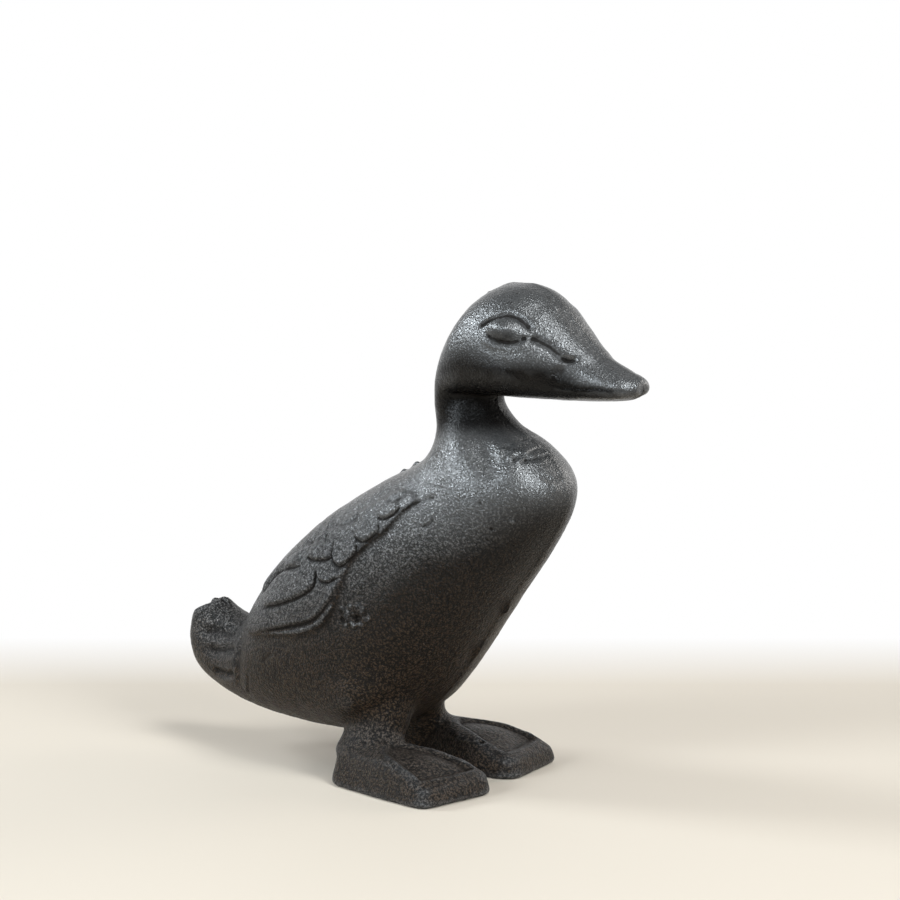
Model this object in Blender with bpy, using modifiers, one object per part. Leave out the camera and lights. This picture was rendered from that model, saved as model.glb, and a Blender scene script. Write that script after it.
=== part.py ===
"""Cast iron duck ornament: two hollow half castings held together by one tie screw.

The duck faces +X, its left side is +Y and it stands on the plane Z = 0. The halves meet at the
plane Y = 0, where the pattern parts, and each half carries its own wing, leg and foot. Two pegs
cast on the right half fit sockets in the left half. The screw goes in from the left flank and
threads through a boss in the right half, where its end is ground flush with the flank.
"""

import math

import bmesh
import bpy
from mathutils import Matrix, Vector

MM = 0.001
RIGHT, LEFT = -1, 1

# Sections of the tail, body and neck, from the tail tip to inside the head, in millimetres:
# (point on the back line, point on the belly line, half width), points as (x, z).
BODY_SECTIONS = [
    ((-67.0, 42.5), (-76.2, 38.0), 6.0),
    ((-63.0, 40.0), (-77.5, 30.0), 8.0),
    ((-59.3, 38.5), (-73.3, 21.5), 10.0),
    ((-55.5, 37.5), (-61.6, 16.0), 13.0),
    ((-51.0, 41.0), (-49.0, 13.0), 17.0),
    ((-46.5, 48.0), (-38.0, 11.5), 20.5),
    ((-41.0, 55.5), (-25.0, 10.6), 23.5),
    ((-33.0, 64.0), (-10.0, 11.4), 25.5),
    ((-23.0, 72.3), (6.5, 18.0), 26.5),
    ((-12.0, 79.0), (17.0, 27.6), 26.0),
    ((-3.0, 84.0), (25.5, 39.0), 25.0),
    ((4.5, 87.5), (35.0, 52.0), 23.0),
    ((10.0, 91.0), (45.0, 65.0), 20.5),
    ((12.5, 95.0), (52.5, 76.5), 18.0),
    ((13.0, 98.5), (54.0, 86.0), 15.5),
    ((12.8, 101.5), (47.0, 94.3), 12.5),
    ((12.3, 104.5), (36.5, 100.3), 10.5),
    ((12.3, 108.5), (31.0, 106.0), 9.5),
    ((14.0, 115.0), (31.0, 114.0), 9.0),
]
BODY_WIDEST = 0.45
BODY_SQUARENESS = (2.1, 2.0)

# Sections of the head and bill, from the back of the head to the bill tip, in millimetres:
# (x, chin height, crown height, half width).
HEAD_SECTIONS = [
    (13.2, 105.5, 112.0, 4.0),
    (15.6, 105.5, 118.4, 8.6),
    (20.0, 107.3, 126.5, 12.8),
    (26.0, 108.7, 134.2, 15.8),
    (33.0, 109.0, 138.5, 17.0),
    (40.0, 109.0, 139.6, 17.0),
    (46.0, 109.0, 138.3, 15.8),
    (51.0, 109.0, 135.2, 13.8),
    (56.0, 109.1, 130.0, 11.5),
    (61.0, 109.3, 124.6, 9.6),
    (66.0, 109.6, 120.8, 8.5),
    (71.0, 110.0, 118.4, 7.6),
    (75.0, 110.7, 116.3, 6.0),
    (77.5, 112.2, 114.6, 2.5),
]
HEAD_WIDEST = 0.4
HEAD_SQUARENESS = (2.0, 2.8)

# Soft swellings of both flanks, drawn on the side view, and hollows where the rise is below zero:
# (x, z, reach along, reach across, turn of the reach along in degrees, rise).
BODY_SWELLINGS = {
    "neck": (27.0, 92.5, 11.0, 5.5, 109.0, 1.4),
    "throat hollow": (36.0, 95.0, 11.0, 4.0, 130.0, -1.7),
    "breast": (47.0, 85.5, 9.0, 5.5, 160.0, 1.0),
    "upper tail furrow": (-62.0, 34.6, 9.0, 1.6, 3.0, -1.0),
    "middle tail furrow": (-59.0, 29.8, 10.0, 1.6, 8.0, -1.0),
    "lower tail furrow": (-56.0, 24.0, 8.0, 1.6, 2.0, -0.9),
    "tail root": (-46.5, 31.0, 9.0, 2.2, 85.0, -0.9),
    "haunch": (-2.0, 20.0, 13.0, 7.0, 18.0, 9.0),
}
HEAD_SWELLINGS = {
    "cheek": (47.0, 117.0, 10.0, 5.5, 8.0, 1.0),
    "bill root": (61.5, 117.0, 4.5, 5.0, 0.0, -0.8),
    "eye socket": (43.6, 128.6, 7.0, 4.4, 0.0, -1.2),
    "eyeball": (43.6, 128.6, 4.0, 2.6, -8.0, 2.6),
}

# The folded wing, raised on each flank: its outline as (x, z), from the shoulder along the
# scalloped lower edge to the tip and back along the upper edge.
WING_RISE = 1.3
WING_START_Y = 0.8
WING_OUTLINE = [
    (18.0, 81.5),
    (13.5, 77.5),
    (9.5, 72.5),
    (4.0, 68.5),
    (-1.5, 62.5),
    (-4.5, 53.0),
    (-9.5, 45.5),
    (-19.0, 41.5),
    (-31.0, 39.5),
    (-41.0, 38.5),
    (-39.0, 46.0),
    (-30.0, 57.5),
    (-17.0, 67.5),
    (-3.0, 76.0),
    (10.0, 82.5),
]

# Each foot is the hull of round pads at the heel, the instep, the middle, the outer and inner web
# and the outer and inner toe, each given as (forward of the ankle, outward, radius, height).
FOOT_PADS = [
    (0.0, 0.0, 7.5, 10.6),
    (8.0, -2.0, 7.0, 12.6),
    (18.0, 0.0, 8.0, 11.8),
    (18.0, 6.8, 5.5, 10.6),
    (18.0, -8.0, 5.5, 10.8),
    (26.0, 9.6, 4.2, 8.2),
    (27.0, -9.2, 5.0, 8.6),
    (30.8, 11.4, 3.4, 5.4),
    (32.2, -8.9, 5.2, 6.2),
]
FOOT_SLOPE = 0.22
FOOT_EDGE = 2.0
FOOT_EDGE_STEPS = 3
FOOT_Y = 20.1
SOLE_EDGE = 1.2

# Each leg is a short column under the haunch with oval sections: (height, half length, half width,
# distance from the parting).
LEG_SECTIONS = [
    (3.0, 7.0, 6.5, 18.5),
    (9.5, 9.6, 8.0, 17.6),
    (13.0, 9.2, 7.8, 14.8),
    (17.0, 9.8, 7.6, 12.6),
    (22.0, 11.0, 7.2, 12.4),
    (28.0, 11.0, 6.0, 12.0),
]
ANKLE_X = {RIGHT: -2.0, LEFT: -6.0}
LEG_FORWARD = {RIGHT: 1.4, LEFT: -1.6}

# The nape, where head and neck run into each other, with oval sections: (height, middle of the
# section, half length, half width).
NAPE_SECTIONS = [
    (94.0, 20.0, 5.5, 9.0),
    (104.0, 19.2, 6.0, 10.4),
    (110.0, 19.7, 5.9, 11.2),
    (118.0, 22.5, 6.4, 11.0),
]

# Shell, boss, pegs and screw.
PARTING_GAP = 0.3
FIT_GAP = 0.3
WALL = 5.0
CAVITY_FIRST, CAVITY_LAST = 4, 13
BOSS_RADIUS = 7.0
BOSS_REACH = 22.5
PEG_RADIUS = 2.5
PEG_LENGTH = 3.5
PEG_ROOT = 4.0
PEG_PLACES = [(-62.0, 28.0), (21.5, 103.5)]
SCREW_X, SCREW_Z = 2.0, 48.5
SCREW_RADIUS = 2.5
SCREW_END_Y = -25.6
SCREW_HEAD_RADIUS = 4.25
SCREW_HEAD_HEIGHT = 3.3
SCREW_HEAD_SEAT_Y = 19.0
SCREW_SLOT = (1.2, 1.4)

FAR = 200.0
SKIN_STEPS = 3
CAVITY_STEPS = 1
COLUMN_STEPS = 2
WING_STEPS = 2
POINTS_PER_RING = 44
ROUND_SEGMENTS = 32


def clear_scene():
    """Remove every object that the scene holds."""
    for item in list(bpy.data.objects):
        bpy.data.objects.remove(item, do_unlink=True)


def new_collection(name):
    """Return a new collection linked to the scene."""
    group = bpy.data.collections.new(name)
    bpy.context.scene.collection.children.link(group)
    return group


def metal(name, colour, roughness):
    """A plain metal surface."""
    surface = bpy.data.materials.new(name)
    surface.use_nodes = True
    shader = surface.node_tree.nodes["Principled BSDF"]
    shader.inputs["Base Color"].default_value = (*colour, 1.0)
    shader.inputs["Roughness"].default_value = roughness
    shader.inputs["Metallic"].default_value = 1.0
    return surface


def new_object(name, shape, group):
    """Turn a bmesh into an object in a collection."""
    bmesh.ops.recalc_face_normals(shape, faces=shape.faces)
    mesh = bpy.data.meshes.new(name)
    shape.to_mesh(mesh)
    shape.free()
    item = bpy.data.objects.new(name, mesh)
    group.objects.link(item)
    return item


def smooth_between(rows, steps, closed=False):
    """Rows of numbers on a smooth curve through the given rows, which stay on it."""
    if closed:
        padded = [rows[-1], *rows, rows[0], rows[1]]
    else:
        padded = [rows[0], *rows, rows[-1]]
    result = []
    for before, start, end, after in zip(padded, padded[1:], padded[2:], padded[3:]):
        for step in range(steps):
            t = step / steps
            weights = (
                (-t + 2 * t**2 - t**3) / 2,
                (2 - 5 * t**2 + 3 * t**3) / 2,
                (t + 4 * t**2 - 3 * t**3) / 2,
                (t**3 - t**2) / 2,
            )
            columns = zip(before, start, end, after)
            result.append([sum(w * v for w, v in zip(weights, column)) for column in columns])
    if not closed:
        result.append(list(rows[-1]))
    return result


def swelling(x, z, swellings):
    """How far the flank stands out at a place on the side view."""
    total = 0.0
    for centre_x, centre_z, reach_along, reach_across, turn, rise in swellings.values():
        cos, sin = math.cos(math.radians(turn)), math.sin(math.radians(turn))
        along = ((x - centre_x) * cos + (z - centre_z) * sin) / reach_along
        across = ((z - centre_z) * cos - (x - centre_x) * sin) / reach_across
        total += rise * math.exp(-(along**2) - across**2)
    return total


def section_ring(top, bottom, half_width, widest, squareness, swellings):
    """Points round one egg-shaped section between a top and a bottom point, given as (x, z)."""
    top = Vector((top[0], 0.0, top[1]))
    bottom = Vector((bottom[0], 0.0, bottom[1]))
    centre = bottom.lerp(top, widest)
    ring = []
    for index in range(POINTS_PER_RING):
        angle = 2 * math.pi * index / POINTS_PER_RING
        along, across = math.cos(angle), math.sin(angle)
        power = 2 / (squareness[0] if along > 0 else squareness[1])
        reach = (top if along > 0 else bottom) - centre
        point = centre + reach * abs(along) ** power
        point.y = half_width * math.copysign(abs(across) ** power, across)
        point.y += across * swelling(point.x, point.z, swellings)
        ring.append(point * MM)
    return ring


def loft(name, rings, group):
    """Closed solid through rings with the same number of points."""
    shape = bmesh.new()
    loops = [[shape.verts.new(point) for point in ring] for ring in rings]
    for near, far in zip(loops, loops[1:]):
        for index in range(len(near)):
            after = (index + 1) % len(near)
            shape.faces.new((near[index], near[after], far[after], far[index]))
    shape.faces.new(reversed(loops[0]))
    shape.faces.new(loops[-1])
    return new_object(name, shape, group)


def body_loft(name, sections, steps, swellings, group):
    """The tail, body and neck, or a run of their sections, as one solid."""
    rows = [(*top, *bottom, width) for top, bottom, width in sections]
    rings = []
    for top_x, top_z, bottom_x, bottom_z, width in smooth_between(rows, steps):
        ends = (top_x, top_z), (bottom_x, bottom_z)
        rings.append(section_ring(*ends, width, BODY_WIDEST, BODY_SQUARENESS, swellings))
    return loft(name, rings, group)


def head_loft(name, group):
    """The head and bill as one solid."""
    rings = []
    for x, chin, crown, width in smooth_between(HEAD_SECTIONS, SKIN_STEPS):
        ends = (x, crown), (x, chin)
        rings.append(section_ring(*ends, width, HEAD_WIDEST, HEAD_SQUARENESS, HEAD_SWELLINGS))
    return loft(name, rings, group)


def wing_sections():
    """Body sections widened by the height of the wing."""
    return [(top, bottom, width + WING_RISE) for top, bottom, width in BODY_SECTIONS]


def cavity_sections():
    """Body sections drawn in by the wall thickness, for the hollow inside."""
    inner = []
    for top, bottom, width in BODY_SECTIONS[CAVITY_FIRST : CAVITY_LAST + 1]:
        top, bottom = Vector(top), Vector(bottom)
        inward = (bottom - top).normalized() * WALL
        inner.append((top + inward, bottom - inward, width - WALL))
    return inner


def wing_prism(name, side, group):
    """The wing's outline, drawn out sideways past one flank."""
    shape = bmesh.new()
    start, depth = side * WING_START_Y * MM, side * FAR * MM
    outline = smooth_between(WING_OUTLINE, WING_STEPS, closed=True)
    face = shape.faces.new([shape.verts.new((x * MM, start, z * MM)) for x, z in outline])
    drawn = bmesh.ops.extrude_face_region(shape, geom=[face])
    moved = [part for part in drawn["geom"] if isinstance(part, bmesh.types.BMVert)]
    bmesh.ops.translate(shape, verts=moved, vec=(0.0, depth, 0.0))
    return new_object(name, shape, group)


def foot_solid(name, side, group):
    """A wedge-shaped webbed foot with a high narrow heel and a low wide front edge."""
    shape = bmesh.new()
    for forward, outward, radius, height in FOOT_PADS:
        edge_z = height - FOOT_EDGE
        edge_radius = radius - FOOT_SLOPE * edge_z - FOOT_EDGE
        rings = []
        for step in range(FOOT_EDGE_STEPS + 1):
            angle = math.pi / 2 * step / FOOT_EDGE_STEPS
            cos, sin = math.cos(angle), math.sin(angle)
            rings.append((edge_radius + FOOT_EDGE * cos, edge_z + FOOT_EDGE * sin))
            rings.append((radius - SOLE_EDGE * (1 - cos), SOLE_EDGE * (1 - sin)))
        for ring_radius, z in rings:
            place = Matrix.Translation(Vector((forward, outward, z)) * MM)
            bmesh.ops.create_circle(
                shape, segments=ROUND_SEGMENTS, radius=ring_radius * MM, matrix=place
            )
    hull = bmesh.ops.convex_hull(shape, input=shape.verts)
    bmesh.ops.delete(shape, geom=hull["geom_interior"], context="VERTS")
    bmesh.ops.dissolve_limit(
        shape, angle_limit=math.radians(1.0), verts=shape.verts, edges=shape.edges
    )
    for vert in shape.verts:
        vert.co.x += ANKLE_X[side] * MM
        vert.co.y = side * (vert.co.y + FOOT_Y * MM)
    return new_object(name, shape, group)


def oval_ring(x, y, z, half_length, half_width):
    """Points round a level oval."""
    ring = []
    for index in range(ROUND_SEGMENTS):
        angle = 2 * math.pi * index / ROUND_SEGMENTS
        along, across = half_length * math.cos(angle), half_width * math.sin(angle)
        ring.append(Vector((x + along, y + across, z)) * MM)
    return ring


def leg_solid(name, side, group):
    """A short oval leg from inside the foot to inside the body."""
    x = ANKLE_X[side] + LEG_FORWARD[side]
    rings = []
    for height, half_length, half_width, offset in smooth_between(LEG_SECTIONS, COLUMN_STEPS):
        rings.append(oval_ring(x, side * offset, height, half_length, half_width))
    return loft(name, rings, group)


def nape_solid(name, group):
    """The back of the neck, from inside the body to inside the head."""
    rings = []
    for height, middle, half_length, half_width in smooth_between(NAPE_SECTIONS, COLUMN_STEPS):
        rings.append(oval_ring(middle, 0.0, height, half_length, half_width))
    return loft(name, rings, group)


def rod_along_y(name, radius, start_y, end_y, x, z, group):
    """A round rod across the duck, for the boss, the bores and the pegs."""
    shape = bmesh.new()
    middle = Vector((x, (start_y + end_y) / 2, z)) * MM
    place = Matrix.Translation(middle) @ Matrix.Rotation(math.radians(-90.0), 4, "X")
    bmesh.ops.create_cone(
        shape,
        cap_ends=True,
        segments=ROUND_SEGMENTS,
        radius1=radius * MM,
        radius2=radius * MM,
        depth=abs(end_y - start_y) * MM,
        matrix=place,
    )
    return new_object(name, shape, group)


def side_block(name, side, group):
    """A block that fills everything past the parting face of one half."""
    shape = bmesh.new()
    centre = Vector((0.0, -side * (FAR - PARTING_GAP / 2), 0.0)) * MM
    place = Matrix.Translation(centre) @ Matrix.Diagonal((2 * FAR * MM,) * 3).to_4x4()
    bmesh.ops.create_cube(shape, size=1.0, matrix=place)
    return new_object(name, shape, group)


def combine(item, operation, other):
    """Add a Boolean modifier and keep its second object out of sight."""
    step = item.modifiers.new(f"{operation.lower()} {other.name}", "BOOLEAN")
    step.operation = operation
    step.solver = "EXACT"
    step.object = other
    other.hide_render = True
    other.display_type = "WIRE"


def half_casting(name, side, shared, parts, tools):
    """One hollow half with its wing, leg and foot, its part of the boss and its pegs or sockets."""
    label = name.split("_")[0]
    half = body_loft(name, BODY_SECTIONS, SKIN_STEPS, BODY_SWELLINGS, parts)
    half.data.materials.append(metal(f"{label}_cast_iron", (0.045, 0.04, 0.037), 0.5))

    wing = body_loft(f"{label}_wing", wing_sections(), SKIN_STEPS, BODY_SWELLINGS, tools)
    combine(wing, "INTERSECT", wing_prism(f"{label}_wing_outline", side, tools))

    combine(half, "UNION", shared["head"])
    combine(half, "UNION", shared["nape"])
    combine(half, "UNION", wing)
    combine(half, "UNION", leg_solid(f"{label}_leg", side, tools))
    combine(half, "UNION", foot_solid(f"{label}_foot", side, tools))
    combine(half, "DIFFERENCE", shared["cavity"])
    combine(half, "UNION", shared["boss"])
    combine(half, "DIFFERENCE", shared["bore"])
    if side == LEFT:
        combine(half, "DIFFERENCE", shared["head_recess"])
    combine(half, "DIFFERENCE", side_block(f"past_{label}_half", side, tools))

    for number, (x, z) in enumerate(PEG_PLACES, start=1):
        if side == RIGHT:
            peg = rod_along_y(f"peg_{number}", PEG_RADIUS, -PEG_ROOT, PEG_LENGTH, x, z, tools)
            combine(half, "UNION", peg)
        else:
            radius, depth = PEG_RADIUS + FIT_GAP, PEG_LENGTH + FIT_GAP
            socket = rod_along_y(f"socket_{number}", radius, -PEG_ROOT, depth, x, z, tools)
            combine(half, "DIFFERENCE", socket)
    half.data.shade_smooth()
    return half


def tie_screw(name, parts, tools):
    """A slotted cheese-head screw, turned about its own Z axis and laid along Y."""
    head_top = SCREW_HEAD_SEAT_Y + FIT_GAP + SCREW_HEAD_HEIGHT
    head_seat = SCREW_HEAD_SEAT_Y + FIT_GAP
    profile = [
        (0.0, head_top),
        (SCREW_HEAD_RADIUS, head_top),
        (SCREW_HEAD_RADIUS, head_seat),
        (SCREW_RADIUS, head_seat),
        (SCREW_RADIUS, SCREW_END_Y),
        (0.0, SCREW_END_Y),
    ]
    shape = bmesh.new()
    points = [shape.verts.new((radius * MM, 0.0, along * MM)) for radius, along in profile]
    for start, end in zip(points, points[1:]):
        shape.edges.new((start, end))
    screw = new_object(name, shape, parts)
    screw.data.materials.append(metal("dark_steel", (0.09, 0.085, 0.08), 0.45))
    turn = screw.modifiers.new("turned", "SCREW")
    turn.steps = turn.render_steps = ROUND_SEGMENTS
    turn.use_merge_vertices = True
    turn.merge_threshold = 0.00001

    slot_width, slot_depth = SCREW_SLOT
    slot_shape = bmesh.new()
    size = Vector((4 * SCREW_HEAD_RADIUS, 2 * slot_depth, slot_width)) * MM
    centre = Vector((SCREW_X, head_top, SCREW_Z)) * MM
    place = Matrix.Translation(centre) @ Matrix.Diagonal(size).to_4x4()
    bmesh.ops.create_cube(slot_shape, size=1.0, matrix=place)
    combine(screw, "DIFFERENCE", new_object("screw_slot", slot_shape, tools))

    screw.rotation_euler.x = math.radians(-90.0)
    screw.location = (SCREW_X * MM, 0.0, SCREW_Z * MM)
    return screw


def build():
    """Model the whole ornament."""
    clear_scene()
    parts = new_collection("cast_iron_duck_ornament")
    tools = new_collection("cutters")
    bore = SCREW_RADIUS + FIT_GAP
    recess = SCREW_HEAD_RADIUS + FIT_GAP
    shared = {
        "head": head_loft("head", tools),
        "nape": nape_solid("nape", tools),
        "cavity": body_loft("cavity", cavity_sections(), CAVITY_STEPS, {}, tools),
        "boss": rod_along_y("boss", BOSS_RADIUS, -BOSS_REACH, BOSS_REACH, SCREW_X, SCREW_Z, tools),
        "bore": rod_along_y("bore", bore, -FAR, FAR, SCREW_X, SCREW_Z, tools),
        "head_recess": rod_along_y(
            "head_recess", recess, SCREW_HEAD_SEAT_Y, FAR, SCREW_X, SCREW_Z, tools
        ),
    }
    half_casting("right_half", RIGHT, shared, parts, tools)
    half_casting("left_half", LEFT, shared, parts, tools)
    tie_screw("tie_screw", parts, tools)


build()
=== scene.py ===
"""Looks of the cast iron duck ornament.

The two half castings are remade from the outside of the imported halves: one even skin, smoothed like
a sand casting, gets its feathers, eyes, bill, tail and parting flash, and is then cut at the parting
plane into the halves again, each with its own hollow, boss and pegs. The duck faces +X, its left
side is +Y and it stands on Z = 0. Sizes are in millimetres until a mesh is made.
"""

import math

import bmesh
import bpy
import numpy as np
from mathutils import Matrix, Vector


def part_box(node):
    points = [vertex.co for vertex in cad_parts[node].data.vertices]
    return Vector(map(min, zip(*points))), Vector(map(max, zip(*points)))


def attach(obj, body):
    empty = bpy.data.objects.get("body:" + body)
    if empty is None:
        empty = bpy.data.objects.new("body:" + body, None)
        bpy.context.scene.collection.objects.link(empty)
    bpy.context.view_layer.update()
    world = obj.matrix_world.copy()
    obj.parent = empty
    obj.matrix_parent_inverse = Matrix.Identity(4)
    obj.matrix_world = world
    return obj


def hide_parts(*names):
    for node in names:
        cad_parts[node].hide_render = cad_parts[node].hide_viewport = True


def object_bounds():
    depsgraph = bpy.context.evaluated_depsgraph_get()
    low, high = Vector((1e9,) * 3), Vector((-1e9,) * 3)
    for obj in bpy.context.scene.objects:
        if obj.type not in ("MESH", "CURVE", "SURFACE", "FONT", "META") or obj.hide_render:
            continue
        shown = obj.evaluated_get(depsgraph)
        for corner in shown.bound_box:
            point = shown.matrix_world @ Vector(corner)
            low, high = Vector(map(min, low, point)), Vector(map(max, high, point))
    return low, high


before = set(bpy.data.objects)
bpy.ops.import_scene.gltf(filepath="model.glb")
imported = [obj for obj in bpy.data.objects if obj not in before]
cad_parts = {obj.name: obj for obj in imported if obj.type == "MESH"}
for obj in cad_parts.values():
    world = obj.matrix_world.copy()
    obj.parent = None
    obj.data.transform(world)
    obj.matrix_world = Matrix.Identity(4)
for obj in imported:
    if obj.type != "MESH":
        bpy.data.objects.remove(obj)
cad_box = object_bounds()

MM = 0.001
RIGHT, LEFT = -1, 1
HALVES = {"right_half": RIGHT, "left_half": LEFT}

# Distances in metres below which points are joined.
WELD = 1e-6
FINE_WELD = 1e-7

# The skin: its cell size, the passes that round it, and the parting between the halves.
CAD_PARTING = 0.15
PARTING_FLATNESS = 0.01
BORE_ROOM = 0.5
SEAM = 0.001
SKIN_CELL = 0.35
SKIN_PASSES = 45
BLEND_PASSES = 220
BREAST_PASSES = 450
PASS_STRENGTH = 0.5
SKIN_TRIANGLES = 340000
CURVE_STEPS = 8
BOX_MARGIN = 0.002
SHARP_ANGLE = math.radians(50.0)

# Heights between which the legs, the nape and the breast are blended, and their places along x.
LEG_BLEND = (9.0, 12.5, 32.0, 40.0)
NAPE_BLEND = (92.0, 99.0, 116.0, 123.0)
NAPE_FRONT = (19.0, 27.0)
BREAST_BLEND = (64.0, 72.0, 90.0, 96.0)
BREAST_FRONT = (20.0, 32.0)

# Lumps of the sand mould as (size, height), and the heights between which the casting gets finer.
BROAD_LUMPS = (5.0, 0.2)
FINE_LUMPS = (1.1, 0.12)
CALM_HEIGHT = (66.0, 88.0)
CALM_LUMPS = 0.6

# How edges and grooves are found, and how near the parting they are left out.
BEND_PASSES = 6
BEND_GAIN = 3.0
PARTING_SHELTER = (0.3, 1.5)

# Painted sheen: lighter metallic iron where it faces up, by its upward slope and its height, further
# down on the breast, standing in for highlights; painted shade under the head, on the throat.
SHEEN_SLOPE = (-0.1, 0.42)
SHEEN_HEIGHT = (-12.0, 88.0)
SHEEN_BREAST = (58.0, 74.0, 96.0, 104.0)
BREAST_SHEEN_REACH = 0.4
THROAT_SHADE_BAND = (95.0, 102.0, 110.0, 114.0)
THROAT_SHADE = 0.97

# The tie screw and its holes; the screw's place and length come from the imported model.
FAR = 100.0
SCREW_RADIUS = 2.5
SCREW_COVER = 0.8
HOLE_ROOM = 0.1
THREADED_HOLE = 2.54
CLEAR_HOLE = 2.8
HEAD_RECESS = 4.55
HEAD_SEAT = 19.0
HEAD_HEIGHT = 3.3
HEAD_CHAMFER = 0.35
HEAD_FILLET = 0.2
END_CHAMFER = 0.1
SLOT_WIDTH, SLOT_DEPTH = 1.2, 1.4
SLOT_TURN = math.radians(25.0)
THREAD_PITCH = 0.8
THREAD_STEP = 0.1
THREAD_DEPTH = 0.43
THREAD_TOP = -1.0
HOLE_SEGMENTS = 64

# Places on the side view are (x, z). A feather's edge runs with the feather on its left.
COVERT_EDGES = [
    [(5.3, 75.5), (8.5, 75.3), (11.6, 76.9), (13.3, 79.3)],
    [(-2.0, 69.9), (2.8, 68.7), (7.0, 71.5), (6.9, 74.1)],
    [(-9.4, 67.7), (-7.7, 63.2), (-4.1, 61.4), (0.0, 64.8), (0.5, 68.9)],
    [(-19.6, 62.1), (-14.7, 61.7), (-8.7, 63.1), (-8.2, 66.6)],
    [(-13.7, 59.6), (-11.1, 56.9), (-6.8, 56.8), (-3.2, 59.2)],
]
QUILL_EDGES = [
    [(-41.0, 48.2), (-33.3, 55.6), (-20.1, 59.8)],
    [(-35.6, 45.8), (-22.7, 49.6), (-13.7, 54.5), (-13.6, 59.3)],
    [(-37.0, 38.9), (-23.7, 42.3), (-12.3, 45.8), (-6.0, 52.2), (-2.9, 59.2)],
]
FAINT_EDGES = [
    [(-13.1, 70.6), (-8.9, 71.7), (-5.0, 73.3), (-2.0, 75.5)],
    [(7.0, 79.6), (11.3, 80.8), (14.0, 83.0)],
    [(-22.0, 65.0), (-17.0, 66.5), (-13.0, 69.0)],
]
FEATHER_LEAD = -0.02
SHOULDER_CREASES = [
    [(16.5, 79.4), (20.3, 81.4), (24.5, 82.2)],
    [(20.5, 74.2), (23.4, 75.0), (24.4, 77.0)],
]
WING_RIM = [(-2.3, 60.1), (-5.1, 54.8), (-8.6, 48.0), (-11.5, 44.3), (-18.5, 41.3), (-28.5, 38.0)]

EYE = (43.0, 128.4)
EYE_RADII = (6.2, 3.2)
UNDER_EYE = [(37.6, 127.4), (40.4, 125.8), (44.4, 124.9), (47.2, 125.2), (49.0, 126.4)]
UPPER_LID = [
    (34.6, 127.7), (37.0, 129.8), (40.1, 131.4), (42.8, 132.1),
    (46.0, 131.4), (48.7, 129.5), (50.0, 127.6),
]
LOWER_LID = [(36.0, 126.4), (39.6, 124.3), (44.2, 123.2), (48.0, 123.7), (50.8, 125.2)]
TEAR_PIT = (48.9, 126.0)
TEAR_PIT_RADII = (0.9, 0.8)
NOSTRIL_GROOVE = [
    (49.6, 126.6), (52.2, 125.5), (54.9, 124.0), (57.4, 122.0), (59.3, 120.6), (62.4, 120.6)
]
NOSTRIL = [(57.8, 121.6), (59.3, 120.6), (61.3, 120.7)]
CHEEK = (51.5, 120.6)
CHEEK_RADII = (8.5, 5.0)
CHEEK_FRONT = [(57.0, 115.8), (58.9, 118.4), (58.6, 120.4)]
MOUTH_CORNER = (57.6, 117.2)
MOUTH_CORNER_RADII = (1.8, 2.2)
MOUTH = [(54.5, 114.7), (58.6, 113.4), (64.5, 113.1), (68.8, 113.4), (75.5, 113.0)]
FOREHEAD_RIDGE = [(49.0, 133.8), (53.4, 130.5), (60.2, 123.9), (65.5, 119.6)]
NAIL = (75.8, 114.4)
NAIL_RADII = (4.6, 3.4)

TAIL_FURROWS = [
    [(-70.0, 33.8), (-63.0, 34.4), (-58.2, 34.7), (-53.5, 35.4)],
    [(-67.5, 29.2), (-60.0, 29.6), (-54.8, 30.9), (-49.4, 32.0)],
    [(-62.5, 23.8), (-55.8, 23.7), (-49.1, 24.8)],
]
TAIL_ROOT = [(-44.5, 39.5), (-46.5, 35.0), (-47.2, 31.0), (-47.5, 25.5), (-48.5, 20.0)]
TAIL_COVERTS = [
    [(-41.0, 26.6), (-42.5, 23.0), (-44.6, 19.0)],
    [(-33.5, 31.0), (-31.0, 33.0), (-28.9, 34.6)],
]

NECK_VALLEY = [(28.7, 102.5), (33.5, 97.5), (36.8, 93.3), (39.2, 89.5), (38.6, 85.0)]
BREAST_CREASE = [(49.8, 89.0), (52.2, 87.4), (53.5, 86.4), (54.0, 84.8)]
BREAST_PITS = [(40.4, 74.6), (39.2, 71.4), (37.6, 81.6), (41.4, 97.5)]
BREAST_PIT_RADII = (0.8, 0.8)
BREAST_NODULE = (45.1, 76.7)
BREAST_NODULE_RADII = (0.9, 0.8)

# Each foot's ankle as (x, distance from the parting), and the outline of the sunk web on the foot's
# top as (forward, outward); the top is what faces up below a height.
ANKLES = {RIGHT: (-2.0, 20.1), LEFT: (-6.0, 20.1)}
WEB_OUTLINE = [
    (9.5, -0.5), (12.0, 4.5), (19.0, 8.6), (28.0, 11.0), (30.2, 9.4), (32.0, 2.5), (33.6, -6.5),
    (31.8, -10.3), (24.0, -9.6), (15.0, -6.5), (11.0, -4.0),
]
WEB_DEPTH = 1.3
WEB_EDGE = 2.2
FOOT_PIT = (18.9, 9.6)
FOOT_PIT_RADII = (1.2, 0.8)
FOOT_TOP_SLOPE = (0.35, 0.75)
FOOT_TOP_HEIGHT = 16.0

# The line of metal left along the parting, and the step where the right half stands proud of the
# left one, which starts along x.
SEAM_REACH = 3.0
SEAM_HEIGHT, SEAM_WIDTH = 0.15, 0.5
PROUD_HEIGHT, PROUD_WIDTH = 0.25, 1.5
PROUD_START = (5.0, 25.0)

# Flash left along the parting: (x, z, height, length).
FLASH = [
    (8.5, 89.6, 1.2, 1.6),
    (3.5, 87.4, 0.9, 2.2),
    (-1.5, 85.6, 0.8, 1.5),
    (-16.0, 77.2, 0.9, 0.9),
    (-75.6, 39.2, 1.0, 1.3),
    (-70.5, 41.6, 1.2, 1.8),
    (-66.0, 41.8, 0.9, 1.6),
    (27.0, 135.2, 0.5, 3.0),
    (33.2, 50.4, 0.9, 1.8),
    (24.0, 37.5, 0.5, 3.0),
]

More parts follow.
